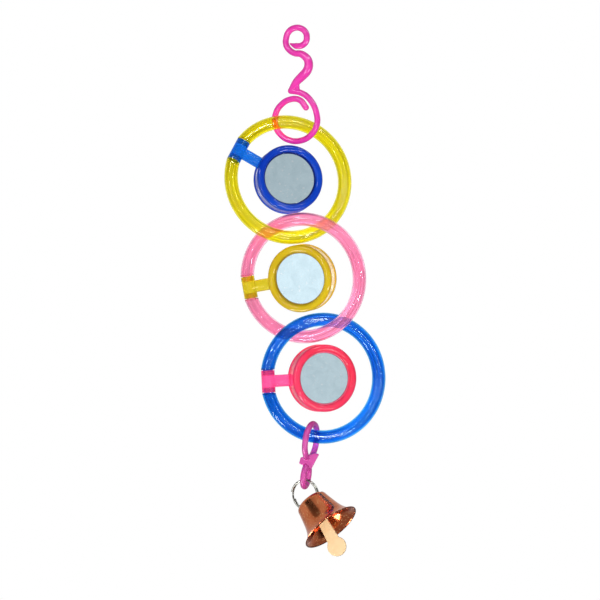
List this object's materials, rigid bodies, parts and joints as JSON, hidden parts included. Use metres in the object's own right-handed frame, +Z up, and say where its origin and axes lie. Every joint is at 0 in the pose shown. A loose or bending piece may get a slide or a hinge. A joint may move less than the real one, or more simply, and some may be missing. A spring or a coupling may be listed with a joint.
{
  "type": "bird mirror chain",
  "caption": "Hanging bird toy: an S-shaped hook carries linked plastic rings, each with a swivelling round mirror, and a small bell on a clip.",
  "frame": {"origin": "middle of the top curl of the hook, where the chain hangs on a cage wire", "axes": "+Z up along the chain, -Y towards the viewer of the mirrors' front faces, +X to that viewer's right"},
  "size_m": [0.0739, 0.0341, 0.2442],
  "materials": {
    "hook_plastic": "gloss",
    "yellow_ring_plastic": "clear coloured gloss",
    "pink_ring_plastic": "clear coloured gloss",
    "blue_ring_plastic": "clear coloured gloss",
    "blue_mirror_plastic": "gloss",
    "yellow_mirror_plastic": "gloss",
    "red_mirror_plastic": "gloss",
    "mirror": "silvered",
    "clip_plastic": "satin",
    "ring_steel": "nickel plated",
    "bell_metal": "copper plated, polished",
    "clapper_plastic": "matte"
  },
  "bodies": {
    "hook": {"hanger_hook": "hook_plastic"},
    "upper_ring": {"yellow_ring": "yellow_ring_plastic"},
    "upper_mirror": {"blue_mirror_holder": "blue_mirror_plastic", "blue_mirror_front_bezel": "blue_mirror_plastic", "blue_mirror_front_glass": "mirror", "blue_mirror_rear_bezel": "blue_mirror_plastic", "blue_mirror_rear_glass": "mirror"},
    "middle_ring": {"pink_ring": "pink_ring_plastic"},
    "middle_mirror": {"yellow_mirror_holder": "yellow_mirror_plastic", "yellow_mirror_front_bezel": "yellow_mirror_plastic", "yellow_mirror_front_glass": "mirror", "yellow_mirror_rear_bezel": "yellow_mirror_plastic", "yellow_mirror_rear_glass": "mirror"},
    "lower_ring": {"blue_ring": "blue_ring_plastic"},
    "lower_mirror": {"red_mirror_holder": "red_mirror_plastic", "red_mirror_front_bezel": "red_mirror_plastic", "red_mirror_front_glass": "mirror", "red_mirror_rear_bezel": "red_mirror_plastic", "red_mirror_rear_glass": "mirror"},
    "clip": {"bell_clip": "clip_plastic"},
    "key_ring": {"split_ring": "ring_steel"},
    "bell": {"bell_shell": "bell_metal"},
    "tongue": {"clapper": "clapper_plastic"}
  },
  "joints": [
    {"name": "upper_ring_swing", "type": "hinge", "parent": "hook", "child": "upper_ring", "pos_m": [-0.0009, 0.00036, -0.04328], "axis": [0.9861, -0.0767, -0.1475], "range_deg": [-14, 24]},
    {"name": "upper_mirror_swivel", "type": "hinge", "parent": "upper_ring", "child": "upper_mirror", "pos_m": [-0.02724, -0.00831, -0.05208], "axis": [-0.4487, -0.2766, -0.8498], "continuous": true},
    {"name": "middle_ring_swing", "type": "hinge", "parent": "upper_ring", "child": "middle_ring", "pos_m": [-0.0011, -0.00786, -0.08769], "axis": [0.9882, -0.0157, 0.1526], "range_deg": [-40, 30]},
    {"name": "middle_mirror_swivel", "type": "hinge", "parent": "middle_ring", "child": "middle_mirror", "pos_m": [-0.02239, 0.00081, -0.11468], "axis": [0.1759, 0.0146, -0.9843], "continuous": true},
    {"name": "lower_ring_swing", "type": "hinge", "parent": "middle_ring", "child": "lower_ring", "pos_m": [0.00698, -0.00716, -0.13342], "axis": [0.981, -0.003, 0.194], "range_deg": [-25, 20]},
    {"name": "lower_mirror_swivel", "type": "hinge", "parent": "lower_ring", "child": "lower_mirror", "pos_m": [-0.0136, -0.01384, -0.15781], "axis": [0.0498, 0.0162, -0.9986], "continuous": true},
    {"name": "clip_swing", "type": "hinge", "parent": "lower_ring", "child": "clip", "pos_m": [0.00625, -0.00739, -0.18285], "axis": [0.9307, 0.3024, -0.2056], "range_deg": [-60, 60]},
    {"name": "key_ring_swing", "type": "hinge", "parent": "clip", "child": "key_ring", "pos_m": [0.00301, -0.00739, -0.20592], "axis": [0.273, 0.9613, -0.0384], "range_deg": [-50, 60]},
    {"name": "bell_swing", "type": "hinge", "parent": "key_ring", "child": "bell", "pos_m": [0.00335, -0.00715, -0.20987], "axis": [-0.5344, -0.8446, -0.0323], "range_deg": [-70, 32]},
    {"name": "clapper_swing", "type": "hinge", "parent": "bell", "child": "tongue", "pos_m": [0.00777, -0.00973, -0.21542], "axis": [0.8108, -0.2469, 0.5307], "range_deg": [-34, 30]}
  ]
}
